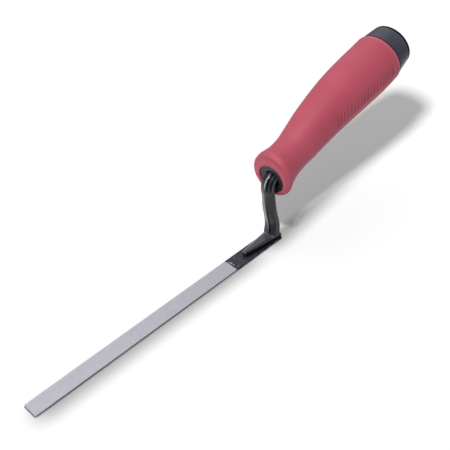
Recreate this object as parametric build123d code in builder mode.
from build123d import *
from math import cos, sin, radians
import os

# Flat brick jointer (tuck pointer), all lengths in millimetres.
# Frame: origin at the middle of the blade's flat sole, +X from the blade
# tip towards the handle, +Y across the blade, +Z up out of the sole.
# The tool is symmetric about the XZ plane.
# A place is (x, z, rise): a point in that plane and a direction of travel
# in degrees above +X. Sections and circles are drawn square to the travel.

# blade: a flat strip, a little wider at the heel
blade_length = 172.0
blade_tip_width = 9.5
blade_heel_width = 10.3
blade_thickness = 1.2
tip_corner_radius = 0.9
heel_corner_radius = 1.4
blade_edge_break = 0.15

# foot of the shank, lying on the heel of the blade
foot_height = 2.8
foot_bevel_depth = 0.6        # height taken by the sloping borders of its top
# x, half width of the foot; x, half width of the flat on top
foot_stations = [
    (58.1, 1.3, 58.7, 0.7),
    (62.6, 2.1, 62.8, 1.3),
    (71.5, 3.3, 71.5, 2.1),
    (79.0, 4.2, 79.0, 2.8),
    (85.6, 4.55, 85.3, 3.2),
]

# Bar sections of the shank are (width across the tool, thickness in the
# bend plane, back bevel across the width, slope of the front facets and
# back bevels through the thickness). The front faces the blade tip on the
# riser and faces up on the tang.
ridge_width = 0.7             # blunt ridge where the two front facets meet

# riser: place, then bar section
riser_stations = [
    (81.7, 2.6, 93.0, 9.0, 6.3, 1.0, 0.8),
    (82.1, 5.0, 95.0, 9.1, 5.7, 1.2, 0.9),
    (82.6, 9.2, 98.0, 9.2, 5.7, 1.7, 1.3),
    (81.2, 18.0, 98.5, 9.2, 6.0, 2.5, 1.8),
    (80.0, 26.2, 96.5, 9.2, 6.1, 3.0, 2.1),
    (79.3, 33.0, 93.5, 9.1, 6.0, 3.0, 2.1),
]

# upper bend, from the riser round to the tang
tang_rise = 22.0
bend_radius = 5.8             # of the centre line
bend_end_x, bend_end_z = 82.75, 42.8
bend_rises = [91.0, 76.0, 57.0, 38.0, tang_rise]
bend_section = (8.7, 5.9, 2.8, 2.0)

# tang: distance past the bend, half width of the front flat (None for
# front corners bevelled like the back ones), bar section
tang_stations = [
    (0.0, ridge_width / 2, bend_section),
    (18.0, None, (6.6, 4.8, 1.6, 1.2)),
    (58.0, None, (4.4, 3.4, 0.9, 0.8)),
]

# mouth of the handle: a nearly upright face with an off-centre opening
mouth_place = (81.6, 41.2, 6.5)
mouth_radius = 8.4
# rounding of the front face: distance behind the face, centre above
# the centre of the mouth, radius
face_rings = [(0.0, 2.2, 11.0), (0.3, 2.3, 12.1), (1.0, 2.4, 12.85)]
nose_setback = 0.9            # the core starts this far inside the mouth
hole_half_width = 4.9         # clearance hole for the bend of the shank
hole_half_height = 5.9
hole_offset = -0.35
cavity_depth = 12.0

# soft grip sleeve: place, outer radius
grip_stations = [
    (83.4, 43.9, 8.0, 13.3),
    (84.9, 45.0, 9.5, 13.0),
    (86.6, 46.0, 11.5, 12.35),
    (88.4, 46.8, 14.0, 11.8),
    (90.6, 47.6, 16.5, 11.3),
    (94.0, 48.8, 19.5, 10.85),
    (98.1, 50.2, 21.0, 10.8),
    (105.5, 53.35, 24.0, 11.53),
    (115.5, 58.1, 24.0, 12.68),
    (128.5, 63.4, 20.5, 13.91),
    (140.8, 67.6, 17.0, 14.91),
    (154.4, 71.3, 15.5, 15.6),
    (165.1, 74.0, 15.5, 15.9),
    (171.8, 75.85, 16.5, 15.88),
    (179.2, 78.16, 17.4, 15.82),
]
grip_end_rounding = 1.0
rear_place = grip_stations[-1][:3]

# hard core under the grip: place, radius
core_front_stations = [
    (*mouth_place, mouth_radius),
    (84.6, 42.4, 9.0, 8.4),
    (89.4, 45.3, 15.0, 8.25),
    (94.0, 48.0, 19.4, 8.1),
    (99.0, 50.2, 20.5, 8.1),
]
core_rear_stations = [
    core_front_stations[-1],
    (128.0, 61.6, 20.5, 9.6),
    (*rear_place, 12.6),
]
rear_bore_radius = 7.5
rear_bore_depth = 38.0

# tapered end cap with a tubular plug that fits the rear bore
cap_length = 14.1
cap_front_radius = 15.34
cap_rear_radius = 13.4
cap_end_chamfer = 1.2
cap_edge_rounding = 0.3
cap_front_rounding = 0.5
plug_length = 14.0
plug_wall = 2.0


def station_plane(x, z, rise):
    """Plane across the tool at (x, z), facing along the given rise."""
    angle = radians(rise)
    return Plane(origin=(x, 0, z), x_dir=(0, 1, 0), z_dir=(cos(angle), 0, sin(angle)))


def bar_outline(width, thickness, bevel_across, bevel_through, front_half=None):
    """Eight corners of a bar section; front_half is half its front flat."""
    side, front = width / 2, thickness / 2
    back_half = side - bevel_across
    if front_half is None:
        front_half = back_half
    shoulder = front - bevel_through
    return [
        (side, -shoulder), (side, shoulder), (front_half, front), (-front_half, front),
        (-side, shoulder), (-side, -shoulder), (-back_half, -front), (back_half, -front),
    ]


def mirrored_outline(half):
    """Closed outline from the points of its +Y half."""
    return [*half, *[(x, -y) for x, y in reversed(half)]]


mouth_plane = station_plane(*mouth_place)
rear_plane = station_plane(*rear_place)


def build_blade():
    half = [(-blade_length / 2, -blade_tip_width / 2), (blade_length / 2, -blade_heel_width / 2)]
    with BuildPart() as blade:
        with BuildSketch(Plane.XY):
            Polygon(*mirrored_outline(half), align=None)
        extrude(amount=blade_thickness)
        # upright corners, tip first and then heel
        for end, radius in ((0, tip_corner_radius), (-1, heel_corner_radius)):
            fillet(blade.edges().filter_by(Axis.Z).group_by(Axis.X)[end], radius=radius)
        chamfer(blade.faces().sort_by(Axis.Z)[-1].edges(), length=blade_edge_break)
    return blade.part


def bend_places():
    """Places along the bend, on an arc that ends where the tang starts."""
    centre_x = bend_end_x + bend_radius * sin(radians(tang_rise))
    centre_z = bend_end_z - bend_radius * cos(radians(tang_rise))
    return [
        (
            centre_x - bend_radius * sin(radians(rise)),
            centre_z + bend_radius * cos(radians(rise)),
            rise,
        )
        for rise in bend_rises
    ]


def build_shank():
    """Foot, riser, bend and tang in one piece."""
    foot_outline = mirrored_outline([(x, half) for x, half, _, _ in foot_stations])
    flat_outline = mirrored_outline([(x, half) for _, _, x, half in foot_stations])
    foot_top_z = blade_thickness + foot_height
    bend_stations = [(*place, *bend_section) for place in bend_places()]
    tang_x, tang_z = cos(radians(tang_rise)), sin(radians(tang_rise))

    with BuildPart() as shank:
        # foot: upright sides, then sloping borders up to the flat
        with BuildSketch(Plane.XY.offset(blade_thickness)):
            Polygon(*foot_outline, align=None)
        extrude(amount=foot_height - foot_bevel_depth)
        with BuildSketch(Plane.XY.offset(foot_top_z - foot_bevel_depth)):
            Polygon(*foot_outline, align=None)
        with BuildSketch(Plane.XY.offset(foot_top_z)):
            Polygon(*flat_outline, align=None)
        loft(ruled=True)
        # riser up to the start of the bend, then the bend
        for stations in (riser_stations + bend_stations[:1], bend_stations):
            for x, z, rise, *section in stations:
                with BuildSketch(station_plane(x, z, rise)):
                    Polygon(*bar_outline(*section, ridge_width / 2), align=None)
            loft()
        # tang
        for distance, front_half, section in tang_stations:
            x, z = bend_end_x + distance * tang_x, bend_end_z + distance * tang_z
            with BuildSketch(station_plane(x, z, tang_rise)):
                Polygon(*bar_outline(*section, front_half), align=None)
        loft(ruled=True)
    return shank.part


def build_core_form():
    """Outer form of the core, which also hollows the grip."""
    with BuildPart() as core_form:
        for stations in (core_front_stations, core_rear_stations):
            for *place, radius in stations:
                with BuildSketch(station_plane(*place)):
                    Circle(radius)
            loft()
    return core_form.part


def build_handle_core(core_form, shank):
    with BuildPart() as handle_core:
        add(core_form)
        # set the front end back inside the mouth; the cutter is oversize
        with BuildSketch(mouth_plane):
            Circle(mouth_radius + 1)
        extrude(amount=nose_setback, mode=Mode.SUBTRACT)
        # clearance for the bend
        with BuildSketch(mouth_plane):
            with Locations((0, hole_offset)):
                Ellipse(hole_half_width, hole_half_height)
        extrude(amount=cavity_depth, mode=Mode.SUBTRACT)
        with BuildSketch(rear_plane):
            Circle(rear_bore_radius)
        extrude(amount=-rear_bore_depth, mode=Mode.SUBTRACT)
        # socket that grips the tang
        add(shank, mode=Mode.SUBTRACT)
    return handle_core.part


def build_grip(core_form):
    with BuildPart() as grip:
        for depth, offset_up, radius in face_rings:
            with BuildSketch(mouth_plane.offset(depth)):
                with Locations((0, offset_up)):
                    Circle(radius)
        for *place, radius in grip_stations:
            with BuildSketch(station_plane(*place)):
                Circle(radius)
        loft()
        fillet(grip.edges().sort_by(Axis.X)[-1], radius=grip_end_rounding)
        add(core_form, mode=Mode.SUBTRACT)
    return grip.part


def build_end_cap():
    with BuildPart() as end_cap:
        with BuildSketch(rear_plane):
            Circle(cap_front_radius)
        with BuildSketch(rear_plane.offset(cap_length)):
            Circle(cap_rear_radius)
        loft()
        chamfer(end_cap.edges().sort_by(Axis.X)[-1], length=cap_end_chamfer)
        # both edges of the chamfer, then the front edge
        rims = end_cap.edges().filter_by(GeomType.CIRCLE).sort_by(Axis.X)
        fillet(rims[-2:], radius=cap_edge_rounding)
        rims = end_cap.edges().filter_by(GeomType.CIRCLE).sort_by(Axis.X)
        fillet(rims[0], radius=cap_front_rounding)
        # plug
        with BuildSketch(rear_plane):
            Circle(rear_bore_radius)
            Circle(rear_bore_radius - plug_wall, mode=Mode.SUBTRACT)
        extrude(amount=-plug_length)
    return end_cap.part


shank = build_shank()
core_form = build_core_form()
pieces = {
    "blade": build_blade(),
    "shank": shank,
    "handle core": build_handle_core(core_form, shank),
    "grip": build_grip(core_form),
    "end cap": build_end_cap(),
}

os.makedirs("parts", exist_ok=True)
for label, piece in pieces.items():
    piece.label = label
    export_step(piece, f"parts/{label.replace(' ', '_')}.step")
